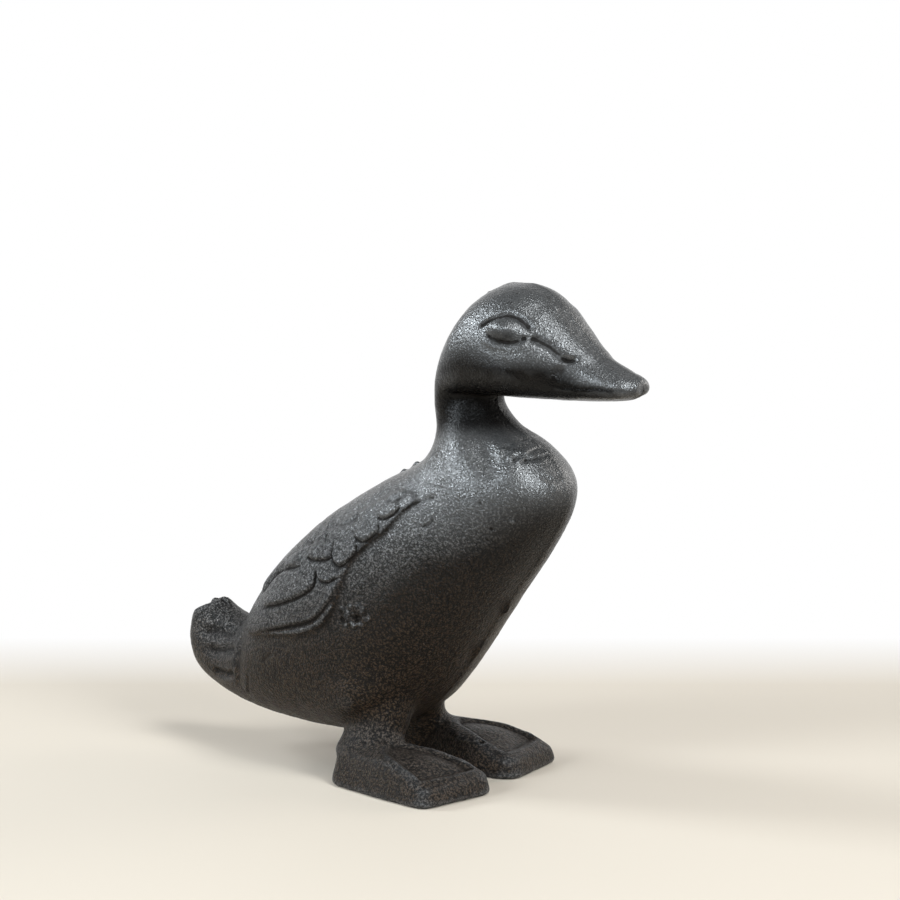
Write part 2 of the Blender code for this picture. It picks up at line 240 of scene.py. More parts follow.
# Rough places: (middle, radii, turn in degrees, number of crumbs, their size, height, side). Those
# with side 0 lie on the parting and spread a little across it.
ROUGH_PLACES = {
    "ground screw end": ((1.0, 48.0), (4.8, 4.0), 0.0, 60, 1.0, 0.34, RIGHT),
    "breast flaw": ((42.8, 94.4), (6.5, 1.8), -20.0, 50, 0.8, 0.32, RIGHT),
    "back flash": ((5.0, 88.5), (7.0, 2.0), 28.0, 90, 0.9, 0.7, 0),
    "tail tip": ((-71.0, 40.0), (6.5, 2.2), 25.0, 90, 1.0, 0.6, 0),
    "crown": ((30.0, 134.5), (9.0, 3.5), 25.0, 110, 0.6, 0.2, 0),
}
CRUMB_SPREAD = 2.5
CRUMB_SIZES = (0.7, 1.5)
DOME_POWER = 1.2

# The hollow where the screw's end was ground off.
SCREW_HOLLOW = (1.4, 48.2)
SCREW_HOLLOW_RADII = (2.4, 2.0)

# Colours of the iron and the steel.
BLACK_IRON = (0.0035, 0.0033, 0.0032, 1.0)
BROWN_IRON = (0.007, 0.0058, 0.005, 1.0)
RUST_PITS = (0.004, 0.0028, 0.002, 1.0)
# Rusted grains, made lighter to serve as painted glints on the grain too.
RUST_AND_GLINT_GRAINS = (0.064, 0.042, 0.026, 1.0)
GROOVE_DIRT = (0.006, 0.0043, 0.003, 1.0)
WORN_EDGES = (0.02, 0.02, 0.021, 1.0)
# Painted sheen and worn edges: the lighter metallic colour.
SHEEN_AND_WORN_IRON = (0.22, 0.22, 0.22, 1.0)
STEEL = (0.11, 0.105, 0.1, 1.0)
STEEL_GRIME = (0.022, 0.018, 0.014, 1.0)

# The iron's grain: sizes of its features, how deep it is, and how much is left where it is finer.
GRAIN_SIZE = 0.78
GRIT_SIZE = 0.43
GRAIN_DEPTH = 0.45
CALM_GRAIN = 0.42
PATCH_SIZE = 14.0
GLOSS_SIZE = 2.5
RUST_HEIGHT = (85.0, 20.0)
EDGE_BEND = (0.55, 0.75)
GROOVE_BEND = (0.46, 0.3)
EDGE_WEAR = 0.75

# The screw's grime and scratches.
GRIME_SIZE = 1.6
SCRATCH_SIZE, SCRATCH_DEPTH = 0.3, 0.08

# The photograph's view; lengths in metres.
VIEW_AZIMUTH = math.radians(36.0)
VIEW_TILT = math.radians(82.6)
VIEW_PLACE = (0.5193, -0.6944, 0.2038)
VIEW_LENS = 125.8
VIEW_SENSOR = 36.0
VIEW_RIGHT = Vector((math.cos(VIEW_AZIMUTH), math.sin(VIEW_AZIMUTH), 0.0))
VIEW_BACK = Vector((math.sin(VIEW_AZIMUTH), -math.cos(VIEW_AZIMUTH), 0.0))
UP = Vector((0.0, 0.0, 1.0))
DUCK_MIDDLE = Vector((0.0, 0.0, 0.07))

# The floor, and how far towards the view it turns white and ends for reflections, in metres.
FLOOR_REACH = 4.0
FLOOR_COLOUR = (0.69, 0.605, 0.505, 1.0)
FLOOR_ROUGHNESS = 0.7
FLOOR_WHITE = (-0.12, -0.2)
FLOOR_END = (0.13, 0.2)
WHITE = (1.0, 1.0, 1.0, 1.0)

# The room's brightness, and how squarely a direction faces the white wall.
DIM_ROOM, WHITE_WALL = 0.12, 1.0
WALL_FACING = (0.6, 0.95)

# Lamps, placed from the duck's middle: (right, towards the view, up, size, power, colour).
LAMPS = {
    "left window": (-0.89, 0.65, 0.49, 0.4, 8.2, (0.84, 0.93, 1.0)),
    "right window": (0.62, 0.89, 0.52, 0.45, 9.6, (0.88, 0.95, 1.0)),
    "ceiling": (0.36, 0.48, 1.02, 0.4, 5.8, (0.92, 0.97, 1.0)),
    "side window": (-0.97, -0.3, 0.62, 0.35, 7.8, (0.86, 0.94, 1.0)),
    "right rim": (0.97, -0.55, 0.42, 0.6, 3.8, (1.0, 0.98, 0.95)),
}


def copy_of(node):
    """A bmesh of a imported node, with its loose triangles joined."""
    shape = bmesh.new()
    shape.from_mesh(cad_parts[node].data)
    bmesh.ops.remove_doubles(shape, verts=shape.verts, dist=WELD)
    return shape


def add_shape(shape, other):
    """Add a bmesh to another one, and free it."""
    mesh = bpy.data.meshes.new("added")
    other.to_mesh(mesh)
    other.free()
    shape.from_mesh(mesh)
    bpy.data.meshes.remove(mesh)


def islands(shape):
    """Lists of faces that hang together."""
    left = set(shape.faces)
    groups = []
    while left:
        todo = [left.pop()]
        group = []
        while todo:
            face = todo.pop()
            group.append(face)
            for edge in face.edges:
                for other in edge.link_faces:
                    if other in left:
                        left.remove(other)
                        todo.append(other)
        groups.append(group)
    return groups


def screw_axis():
    """Place (x, z) of the tie screw and the radius of its head, in metres."""
    low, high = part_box("tie_screw")
    middle = (low + high) / 2
    return middle.x, middle.z, (high.x - low.x) / 2


def screw_end():
    """Distance across the duck of the screw's end, covered by the ground metal, in millimetres."""
    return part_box("tie_screw")[0].y / MM + SCREW_COVER


def drop_bore_and_parting(shape):
    """Remove the faces of the screw's hole and of the parting plane."""
    x, z, head = screw_axis()
    reach = head + BORE_ROOM * MM
    gone = []
    for face in shape.faces:
        flat = all(abs(abs(v.co.y) - CAD_PARTING * MM) < PARTING_FLATNESS * MM for v in face.verts)
        bored = all(math.hypot(v.co.x - x, v.co.z - z) < reach for v in face.verts)
        if flat or bored:
            gone.append(face)
    bmesh.ops.delete(shape, geom=gone, context="FACES")


def keep_part(shape, outside):
    """Keep only the outer skin of a half, or only what is inside it."""
    def length(group):
        xs = [v.co.x for face in group for v in face.verts]
        return max(xs) - min(xs)

    groups = sorted(islands(shape), key=length)
    gone = groups[:-1] if outside else groups[-1:]
    bmesh.ops.delete(shape, geom=[face for group in gone for face in group], context="FACES")


def new_piece(name, shape):
    """Turn a bmesh into an object of the scene."""
    mesh = bpy.data.meshes.new(name)
    shape.to_mesh(mesh)
    shape.free()
    piece = bpy.data.objects.new(name, mesh)
    bpy.context.scene.collection.objects.link(piece)
    return piece


def applied(piece):
    """Bake an object's modifiers into its mesh."""
    graph = bpy.context.evaluated_depsgraph_get()
    graph.update()
    mesh = bpy.data.meshes.new_from_object(piece.evaluated_get(graph))
    piece.modifiers.clear()
    old = piece.data
    piece.data = mesh
    bpy.data.meshes.remove(old)
    mesh.name = piece.name


def removed(piece):
    """Take a helper object out of the scene."""
    mesh = piece.data
    bpy.data.objects.remove(piece)
    bpy.data.meshes.remove(mesh)


def cut_away(piece, tool, solver):
    """Cut a helper object's shape out of a piece."""
    step = piece.modifiers.new("cut", "BOOLEAN")
    step.operation = "DIFFERENCE"
    step.solver = solver
    step.object = tool
    applied(piece)
    removed(tool)


def shade(piece):
    """Shade a piece smooth, but for its sharp edges."""
    piece.data.shade_smooth()
    piece.data.set_sharp_from_angle(angle=SHARP_ANGLE)


def vertex_places(mesh):
    """A mesh's vertex places, in millimetres."""
    flat = np.zeros(3 * len(mesh.vertices), np.float32)
    mesh.vertices.foreach_get("co", flat)
    return flat.reshape(-1, 3).astype(float) / MM


def vertex_normals(mesh):
    """A mesh's vertex normals."""
    flat = np.zeros(3 * len(mesh.vertices), np.float32)
    mesh.vertex_normals.foreach_get("vector", flat)
    return flat.reshape(-1, 3).astype(float)


def keep_in_box(mesh, places):
    """Give a mesh its vertex places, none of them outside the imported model's box."""
    low, high = (np.array(corner) / MM for corner in cad_box)
    places = np.clip(places, low + BOX_MARGIN, high - BOX_MARGIN)
    mesh.vertices.foreach_set("co", (places * MM).astype(np.float32).ravel())
    mesh.update()


def add_weights(piece, name, weights):
    """A vertex group with one weight a vertex, in steps of a tenth."""
    group = piece.vertex_groups.new(name=name)
    tenths = np.round(weights * 10).astype(int)
    for tenth in range(1, 11):
        members = np.nonzero(tenths == tenth)[0].tolist()
        if members:
            group.add(members, tenth / 10, "REPLACE")


def mark(mesh, name, values):
    """Keep one value a vertex, for the material."""
    marks = mesh.attributes.new(name, "FLOAT", "POINT")
    marks.data.foreach_set("value", values.astype(np.float32))


def step_up(values, start, end):
    """A soft step from 0 at start to 1 at end."""
    share = np.clip((values - start) / (end - start), 0.0, 1.0)
    return share**2 * (3 - 2 * share)


def between(values, limits):
    """1 between two middle limits, fading to 0 at the outer two."""
    return step_up(values, limits[0], limits[1]) * (1 - step_up(values, limits[2], limits[3]))


def fair(skin, name, passes, weights):
    """Smooth a skin where the weights ask for it."""
    add_weights(skin, name, weights)
    step = skin.modifiers.new(name, "SMOOTH")
    step.iterations = passes
    step.factor = PASS_STRENGTH
    step.vertex_group = name


def mark_painted_sheen(mesh):
    """Note the painted sheen where the iron faces up, less so low down, with painted shade under the
    head.
    """
    places = vertex_places(mesh)
    height = places[:, 2]
    breast = between(height, SHEEN_BREAST) * step_up(places[:, 0], *BREAST_FRONT)
    steepest, flattest = SHEEN_SLOPE
    upward = step_up(vertex_normals(mesh)[:, 2], steepest - BREAST_SHEEN_REACH * breast, flattest)
    # Painted shade: almost no sheen under the head, on the throat, where the head shades it.
    painted_throat_shade = THROAT_SHADE * between(height, THROAT_SHADE_BAND)
    mark(mesh, "painted_sheen", upward * step_up(height, *SHEEN_HEIGHT) * (1 - painted_throat_shade))


def closed_outside(node, side):
    """The outside of a packed half, closed a little past the parting."""
    half = copy_of(node)
    drop_bore_and_parting(half)
    keep_part(half, outside=True)
    for vert in half.verts:
        if abs(vert.co.y) < 2 * CAD_PARTING * MM:
            vert.co.y = -side * SKIN_CELL * MM
    bmesh.ops.holes_fill(half, edges=half.edges, sides=0)
    bmesh.ops.triangulate(half, faces=half.faces)
    bmesh.ops.recalc_face_normals(half, faces=half.faces)
    return half


def whole_skin():
    """One closed, even and rounded skin round both halves."""
    shape = bmesh.new()
    for node, side in HALVES.items():
        add_shape(shape, closed_outside(node, side))
    skin = new_piece("skin", shape)
    even = skin.modifiers.new("even", "REMESH")
    even.mode = "VOXEL"
    even.voxel_size = SKIN_CELL * MM
    applied(skin)
    places = vertex_places(skin.data)
    along, height = places[:, 0], places[:, 2]
    legs = between(height, LEG_BLEND)
    nape = between(height, NAPE_BLEND) * (1 - step_up(along, *NAPE_FRONT))
    breast = between(height, BREAST_BLEND) * step_up(along, *BREAST_FRONT)
    fair(skin, "all_over", SKIN_PASSES, np.ones(len(places)))
    fair(skin, "blends", BLEND_PASSES, np.maximum(legs, nape))
    fair(skin, "breast", BREAST_PASSES, breast)
    applied(skin)
    mark_painted_sheen(skin.data)
    return skin


def smooth_curve(points):
    """Close points on a smooth curve through the given ones."""
    points = np.array(points, float)
    padded = np.vstack([2 * points[0] - points[1], points, 2 * points[-1] - points[-2]])
    t = np.linspace(0.0, 1.0, CURVE_STEPS, endpoint=False)[:, None]
    stretches = []
    for before, start, end, after in zip(padded, padded[1:], padded[2:], padded[3:]):
        slope = (end - before) * t
        bend = (2 * before - 5 * start + 4 * end - after) * t**2
        twist = (3 * start - before - 3 * end + after) * t**3
        stretches.append((2 * start + slope + bend + twist) / 2)
    return np.vstack([*stretches, points[-1:]])


class Relief:
    """Heights raised on the skin or cut into it, drawn on the side view or another view."""

    def __init__(self, places, axes=(0, 2)):
        self.places = places[:, axes]
        self.across = places[:, 1]
        self.height = np.zeros(len(places))

    def beside(self, points, reach):
        """Vertices near a curve: their numbers, distance to its left and share of the way along."""
        line = smooth_curve(points)
        low, high = line.min(0) - reach, line.max(0) + reach
        near = np.nonzero(np.all((self.places > low) & (self.places < high), axis=1))[0]
        spots = self.places[near][:, None]
        start, run = line[:-1], np.diff(line, axis=0)
        share = np.clip(((spots - start) * run).sum(2) / (run**2).sum(1), 0.0, 1.0)
        gap = spots - start - share[..., None] * run
        distance = np.hypot(gap[..., 0], gap[..., 1])
        closest = distance.argmin(1)
        rows = np.arange(len(near))
        gap, share, distance = (part[rows, closest] for part in (gap, share, distance))
        turn = run[closest, 0] * gap[:, 1] - run[closest, 1] * gap[:, 0]
        return near, np.copysign(distance, turn), (closest + share) / len(run)

    def add(self, near, amount, side):
        """Add heights, on one side of the duck or on both."""
        if side:
            amount = amount * (self.across[near] * side > 0)
        self.height[near] += amount

    def crease(self, points, width, depth, fade=0.2, side=0):
        """A groove along a curve, or a ridge where the depth is below zero."""
        near, off, along = self.beside(points, 4 * width)
        ends = step_up(along, 0.0, fade) * step_up(1 - along, 0.0, fade)
        self.add(near, -depth * ends * np.exp(-((off / width) ** 2)), side)

    def feather(self, points, rise, run, groove, width, fade=0.14):
        """The edge of a feather: round and high inside the edge, with a groove along it."""
        near, off, along = self.beside(points, 3 * run)
        ends = step_up(along, FEATHER_LEAD, fade) * step_up(1 - along, FEATHER_LEAD, fade)
        inside = np.maximum(off, 0.0)
        lift = rise * (1 - np.exp(-inside / width)) * np.exp(-inside / run)
        cut = groove * np.exp(-((off / width) ** 2))
        self.add(near, ends * (lift - cut), 0)

    def dome(self, centre, radii, rise, turn=0.0, side=0, out=None):
        """A round swelling, or a hollow where the rise is below zero; with a place across the duck,
        it is round in that direction too."""
        away = self.places - np.array(centre)
        cos, sin = math.cos(math.radians(turn)), math.sin(math.radians(turn))
        along = (away[:, 0] * cos + away[:, 1] * sin) / radii[0]
        across = (away[:, 1] * cos - away[:, 0] * sin) / radii[1]
        left = 1 - along**2 - across**2
        if out is not None:
            left -= ((self.across - out) / radii[0]) ** 2
        near = np.nonzero(left > 0)[0]
        self.add(near, rise * left[near] ** DOME_POWER, side)

    def sink(self, points, depth, edge, turn):
        """A sunk area inside a closed curve; turn is 1 where the curve runs round to the left."""
        near, off, _ = self.beside([*points, points[0]], 1.0)
        self.add(near, -depth * step_up(turn * off, 0.0, edge), 0)

    def crumbs(self, centre, radii, turn, count, size, height, side, seed):
        """Small bumps and pits scattered over an oval."""
        chance = np.random.default_rng(seed)
        cos, sin = math.cos(math.radians(turn)), math.sin(math.radians(turn))
        for _ in range(count):
            angle = chance.uniform(0.0, 2 * math.pi)
            away = math.sqrt(chance.uniform(0.0, 1.0))
            along, across = radii[0] * away * math.cos(angle), radii[1] * away * math.sin(angle)
            place = (centre[0] + along * cos - across * sin, centre[1] + along * sin + across * cos)
            reach = size * chance.uniform(*CRUMB_SIZES)
            rise = height * chance.uniform(-1.0, 1.0)
            out = None if side else chance.uniform(-CRUMB_SPREAD, CRUMB_SPREAD)
            self.dome(place, (reach, reach), rise, side=side, out=out)


def draw_wing(relief):
    """Coverts, long quills, the rim round the wing and the shoulder's creases."""
    for edge in COVERT_EDGES:
        relief.feather(edge, rise=1.1, run=4.0, groove=0.45, width=0.5)
    for edge in QUILL_EDGES:
        relief.feather(edge, rise=1.2, run=4.0, groove=0.6, width=0.8)
    for edge in FAINT_EDGES:
        relief.feather(edge, rise=0.4, run=3.0, groove=0.35, width=0.8)
    for line in SHOULDER_CREASES:
        relief.crease(line, width=0.6, depth=0.35)
    relief.crease(WING_RIM, width=1.6, depth=-0.5)


def draw_head(relief):
    """Eyes with their lids, cheeks, nostrils, mouth, forehead and the bill's nail."""
    relief.dome(EYE, EYE_RADII, rise=0.8, turn=-6.0)
    relief.crease(UNDER_EYE, width=0.5, depth=0.4)
    relief.crease(UPPER_LID, width=0.7, depth=0.9, fade=0.15)
    relief.crease(LOWER_LID, width=0.9, depth=-0.35)
    relief.dome(TEAR_PIT, TEAR_PIT_RADII, rise=-0.7)
    relief.dome(CHEEK, CHEEK_RADII, rise=0.7, turn=-25.0)
    relief.crease(NOSTRIL_GROOVE, width=0.85, depth=0.9, fade=0.1)
    relief.crease(NOSTRIL, width=0.8, depth=0.7, fade=0.4)
    relief.crease(CHEEK_FRONT, width=1.4, depth=0.6, fade=0.4)
    relief.dome(MOUTH_CORNER, MOUTH_CORNER_RADII, rise=-0.35)
    relief.crease(MOUTH, width=0.5, depth=0.15)
    relief.crease(FOREHEAD_RIDGE, width=1.7, depth=-0.4)
    relief.dome(NAIL, NAIL_RADII, rise=0.5)


def draw_tail(relief):
    """Furrows between the tail feathers, the tail's root and the coverts before it."""
    for line in TAIL_FURROWS:
        relief.crease(line, width=1.1, depth=0.9)
    relief.crease(TAIL_ROOT, width=1.5, depth=0.6)
    for line in TAIL_COVERTS:
        relief.crease(line, width=0.7, depth=0.3)


def draw_breast(relief):
    """The valley between neck and breast, and the marks left by the mould."""
    relief.crease(NECK_VALLEY, width=3.0, depth=0.6, fade=0.35)
    relief.crease(BREAST_CREASE, width=0.5, depth=0.4, side=RIGHT)
    relief.dome(BREAST_NODULE, BREAST_NODULE_RADII, rise=0.4, side=RIGHT)
    for pit in BREAST_PITS:
        relief.dome(pit, BREAST_PIT_RADII, rise=-0.3, side=RIGHT)


def draw_feet(relief):
    """The webs, sunk between the rims of the feet, drawn on the view from above."""
    for side, (ankle_x, ankle_y) in ANKLES.items():
        outline = [(ankle_x + forward, side * (ankle_y + outward)) for forward, outward in WEB_OUTLINE]
        relief.sink(outline, WEB_DEPTH, WEB_EDGE, turn=-side)
    relief.dome(FOOT_PIT, FOOT_PIT_RADII, rise=-0.9)


def draw_flash(relief):
    """The uneven line of metal left along the parting, where the right half stands proud."""
    near = np.nonzero(np.abs(relief.across) < SEAM_REACH)[0]
    across = relief.across[near]
    ridge = np.exp(-((across / SEAM_WIDTH) ** 2))
    proud = step_up(relief.places[near, 0], *PROUD_START)
    step = -np.sign(across) * np.exp(-((across / PROUD_WIDTH) ** 2))
    relief.height[near] += SEAM_HEIGHT * ridge + PROUD_HEIGHT * proud * step
    for x, z, height, length in FLASH:
        away = np.hypot(relief.places[near, 0] - x, relief.places[near, 1] - z)
        relief.height[near] += height * ridge * np.exp(-((away / length) ** 2))


def draw_rough_places(relief):
    """Places where the casting is rough, and the hollow over the screw's end."""
    for seed, place in enumerate(ROUGH_PLACES.values()):
        relief.crumbs(*place, seed=seed)
    relief.dome(SCREW_HOLLOW, SCREW_HOLLOW_RADII, rise=-0.5, side=RIGHT)


def add_lumps(skin, name, size, strength, weights):
    """Unevenness of the sand mould, of one size."""
    pattern = bpy.data.textures.new(name, "CLOUDS")
    pattern.noise_scale = size * MM
    pattern.noise_depth = 1
    add_weights(skin, name, weights)
    lumps = skin.modifiers.new(name, "DISPLACE")
    lumps.texture = pattern
    lumps.texture_coords = "LOCAL"
    lumps.strength = strength * MM
    lumps.mid_level = 0.5
    lumps.vertex_group = name


def carve(skin):
    """Make the skin uneven and draw the relief into it."""
    height = vertex_places(skin.data)[:, 2]
    add_lumps(skin, "broad_lumps", *BROAD_LUMPS, np.ones(len(height)))
    add_lumps(skin, "fine_lumps", *FINE_LUMPS, 1.0 - CALM_LUMPS * step_up(height, *CALM_HEIGHT))
    applied(skin)
    places, normals = vertex_places(skin.data), vertex_normals(skin.data)
    relief = Relief(places)
    draw_wing(relief)
    draw_head(relief)
    draw_tail(relief)
    draw_breast(relief)
    draw_flash(relief)
    draw_rough_places(relief)
    feet = Relief(places, axes=(0, 1))
    draw_feet(feet)
    on_top = step_up(normals[:, 2], *FOOT_TOP_SLOPE) * (places[:, 2] < FOOT_TOP_HEIGHT)
    places += (relief.height + feet.height * on_top)[:, None] * normals
    keep_in_box(skin.data, places)


def thin_out(skin):
    """Spend the skin's triangles where it bends."""
    fewer = skin.modifiers.new("fewer", "DECIMATE")
    fewer.ratio = SKIN_TRIANGLES / (2 * len(skin.data.polygons))
    fewer.use_collapse_triangulate = True
    applied(skin)
    keep_in_box(skin.data, vertex_places(skin.data))


def hollow_inside(node, side):
    """The inside of a packed half, brought up to the seam."""
    inside = copy_of(node)
    drop_bore_and_parting(inside)
    keep_part(inside, outside=False)
    for vert in inside.verts:
        if abs(vert.co.y - side * CAD_PARTING * MM) < PARTING_FLATNESS * MM:
            vert.co.y = side * SEAM * MM
    return inside


def half_casting(skin, node, side):
    """One half of the skin, closed over the hollow of its packed half."""
    shape = bmesh.new()
    shape.from_mesh(skin.data)
    bmesh.ops.bisect_plane(
        shape,
        geom=[*shape.verts, *shape.edges, *shape.faces],
        dist=FINE_WELD,
        plane_co=(0.0, side * SEAM * MM, 0.0),
        plane_no=(0.0, -side, 0.0),
        clear_outer=True,
    )
    add_shape(shape, hollow_inside(node, side))
    rims = [edge for edge in shape.edges if edge.is_boundary]
    bmesh.ops.triangle_fill(shape, use_beauty=True, edges=rims, normal=(0.0, -side, 0.0))
    bmesh.ops.recalc_face_normals(shape, faces=shape.faces)
    piece = new_piece(node.replace("half", "casting"), shape)
    bore_for_screw(piece, side)
    shade(piece)
    mark_bends(piece.data)
    return piece


def cut_round_hole(piece, radius, start, end):
    """Cut a round hole along the screw's axis, from one distance across the duck to another."""
    x, z, _ = screw_axis()
    shape = bmesh.new()
    place = Matrix.Translation((x, (start + end) / 2 * MM, z)) @ Matrix.Rotation(math.pi / 2, 4, "X")
    bmesh.ops.create_cone(
        shape,
        cap_ends=True,
        segments=HOLE_SEGMENTS,
        radius1=radius * MM,
        radius2=radius * MM,
        depth=abs(end - start) * MM,
        matrix=place,
    )
    cut_away(piece, new_piece("rod", shape), "MANIFOLD")


def bore_for_screw(piece, side):
    """The threaded hole of the right half, or the clear hole and head recess of the left."""
    if side == RIGHT:
        cut_round_hole(piece, THREADED_HOLE, screw_end() - HOLE_ROOM, FAR)
    else:
        cut_round_hole(piece, CLEAR_HOLE, -FAR, FAR)
        cut_round_hole(piece, HEAD_RECESS, HEAD_SEAT, FAR)


def mark_bends(mesh):
    """Note how a surface bends: 1 on sharp edges, 0.5 where it is flat or parts, 0 in grooves."""
    places, normals = vertex_places(mesh), vertex_normals(mesh)
    ends = np.zeros(2 * len(mesh.edges), np.int32)
    mesh.edges.foreach_get("vertices", ends)
    first, second = ends.reshape(-1, 2).T
    run = places[second] - places[first]
    run /= np.maximum(np.linalg.norm(run, axis=1), 1e-6)[:, None]
    count = np.maximum(np.bincount(ends, minlength=len(places)), 1)
    bend = np.bincount(first, -(run * normals[first]).sum(1), len(places))
    bend += np.bincount(second, (run * normals[second]).sum(1), len(places))
    bend /= count
    for _ in range(BEND_PASSES):
        spread = np.bincount(first, bend[second], len(places))
        spread += np.bincount(second, bend[first], len(places))
        bend = (bend + spread / count) / 2
    bend *= step_up(np.abs(places[:, 1]), *PARTING_SHELTER)
    mark(mesh, "bend", np.clip(0.5 + BEND_GAIN * bend, 0.0, 1.0))


def screw_outline(end, top, head_radius):
    """Half the screw's outline, from its end to the top of its head: (out, along)."""
    radius = SCREW_RADIUS
    seat = top - HEAD_HEIGHT
    thread = np.arange(end + THREAD_STEP, THREAD_TOP, THREAD_STEP)
    outline = [(0.0, end), (radius - END_CHAMFER, end)]
    outline += [(radius, along) for along in thread]
    outline += [(radius, seat - HEAD_FILLET), (radius + HEAD_FILLET, seat)]
    outline += [(head_radius, seat), (head_radius, top - HEAD_CHAMFER)]
    outline += [(head_radius - HEAD_CHAMFER, top), (0.0, top)]
    return outline


def cut_thread(shape, x, z, end):
    """Press a spiral groove into the plain part of a turned screw."""
    for vert in shape.verts:
        along = vert.co.y / MM
        if end + THREAD_STEP / 2 < along < THREAD_TOP:
            away = Vector((vert.co.x - x, 0.0, vert.co.z - z))
            turn = math.atan2(away.z, away.x) / (2 * math.pi)
            share = (along / THREAD_PITCH - turn) % 1.0
            vert.co -= away.normalized() * THREAD_DEPTH * MM * (1 - abs(2 * share - 1))


def cut_slot(screw, x, z, top, head_radius):
    """Cut the slot across the screw's head."""
    shape = bmesh.new()
    size = Vector((4 * head_radius, 2 * SLOT_DEPTH, SLOT_WIDTH)) * MM
    place = Matrix.Translation((x, top * MM, z)) @ Matrix.Rotation(SLOT_TURN, 4, "Y")
    bmesh.ops.create_cube(shape, size=1.0, matrix=place @ Matrix.Diagonal(size).to_4x4())
    cut_away(screw, new_piece("slot", shape), "EXACT")


def tie_screw():
    """A slotted cheese-head screw with its thread, turned about its axis from half its outline."""
    x, z, head_radius = screw_axis()
    head_radius /= MM
    end, top = screw_end(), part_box("tie_screw")[1].y / MM
    shape = bmesh.new()
    outline = screw_outline(end, top, head_radius)
    points = [shape.verts.new((x + out * MM, along * MM, z)) for out, along in outline]
    lines = [shape.edges.new(pair) for pair in zip(points, points[1:])]
    bmesh.ops.spin(
        shape,
        geom=[*points, *lines],
        cent=(x, 0.0, z),
        axis=(0.0, 1.0, 0.0),
        angle=2 * math.pi,
        steps=HOLE_SEGMENTS,
        use_merge=True,
    )
    bmesh.ops.remove_doubles(shape, verts=shape.verts, dist=FINE_WELD)
    bmesh.ops.recalc_face_normals(shape, faces=shape.faces)
    cut_thread(shape, x, z, end)
    screw = new_piece("tie_screw_turned", shape)
    cut_slot(screw, x, z, top, head_radius)
    shade(screw)
    return screw


def shader_node(tree, kind, inputs=(), **settings):
    """Add a shader node, set it up, and set or join its inputs."""
    item = tree.nodes.new("ShaderNode" + kind)
    for name, value in settings.items():
        setattr(item, name, value)
    for name, value in dict(inputs).items():
        if isinstance(value, bpy.types.NodeSocket):
            tree.links.new(value, item.inputs[name])
        else:
            item.inputs[name].default_value = value
    return item


def ranged(tree, value, start, end, low=0.0, high=1.0):
    """Map a value from start and end to low and high."""
    inputs = {"Value": value, "From Min": start, "From Max": end, "To Min": low, "To Max": high}
    return shader_node(tree, "MapRange", inputs).outputs["Result"]


def mixed(tree, share, first, second):
    """Mix two colours."""
    item = shader_node(tree, "Mix", data_type="RGBA")
    for name, value in (("Factor_Float", share), ("A_Color", first), ("B_Color", second)):
        socket = next(s for s in item.inputs if s.identifier == name)
        if isinstance(value, bpy.types.NodeSocket):
            tree.links.new(value, socket)
        else:
            socket.default_value = value
    return next(s for s in item.outputs if s.identifier == "Result_Color")


def maths(tree, operation, first, second):
    """Work out one value from two."""
    return shader_node(tree, "Math", {0: first, 1: second}, operation=operation).outputs[0]


def noise(tree, place, size, detail):
    """Cloudy noise with features of one size, in millimetres."""
    inputs = {"Vector": place, "Scale": 1 / (size * MM), "Detail": detail, "Roughness": 0.55}
    return shader_node(tree, "TexNoise", inputs).outputs["Fac"]


def new_surface(name):
    """A new material, with its node tree and its shader."""
    surface = bpy.data.materials.new(name)
    surface.use_nodes = True
    return surface, surface.node_tree, surface.node_tree.nodes["Principled BSDF"]


def sand_grain(tree, place):
    """The grain left by the sand mould: round grains with finer grit on them."""
    cells = {"Vector": place, "Scale": 1 / (GRAIN_SIZE * MM)}
    grain = shader_node(tree, "TexVoronoi", cells, feature="F1").outputs["Distance"]
    grit = noise(tree, place, GRIT_SIZE, 1.5)
    return maths(tree, "ADD", maths(tree, "MULTIPLY", grain, -0.5), grit)


def waxed_colour(tree, place, rough, low_down, hollows, edges):
    """Colour of the waxed iron: rusted low down with lighter grains, partly rusted and partly painted
    glints; dirty in its grooves and worn along its edges.
    """
    patches = ranged(tree, noise(tree, place, PATCH_SIZE, 3.0), 0.35, 0.65)
    iron = mixed(tree, patches, BLACK_IRON, BROWN_IRON)
    # Rusted grains, partly painted glints.
    rust_and_glints = mixed(tree, ranged(tree, rough, 0.2, 0.46), RUST_PITS, RUST_AND_GLINT_GRAINS)
    low_rust_and_glints = mixed(tree, low_down, iron, rust_and_glints)
    dirty = mixed(tree, hollows, low_rust_and_glints, GROOVE_DIRT)
    return mixed(tree, edges, dirty, WORN_EDGES)


def sheen_and_wear_share(tree, rough, calmer, hollows, edges):
    """Share of lighter metal: painted sheen where the iron faces up, plus worn edges, least between
    the grains and in grooves.
    """
    painted_sheen = shader_node(tree, "Attribute", attribute_name="painted_sheen").outputs["Fac"]
    sheen_or_worn = maths(tree, "MAXIMUM", painted_sheen, maths(tree, "MULTIPLY", edges, EDGE_WEAR))
    peaks = ranged(tree, rough, 0.16, 0.42)
    filled = ranged(tree, calmer, CALM_GRAIN, 1.0, 0.6, 0.1)
    reached = maths(tree, "MAXIMUM", peaks, filled)
    clean = maths(tree, "MULTIPLY", reached, maths(tree, "SUBTRACT", 1.0, hollows))
    return maths(tree, "MULTIPLY", sheen_or_worn, clean)


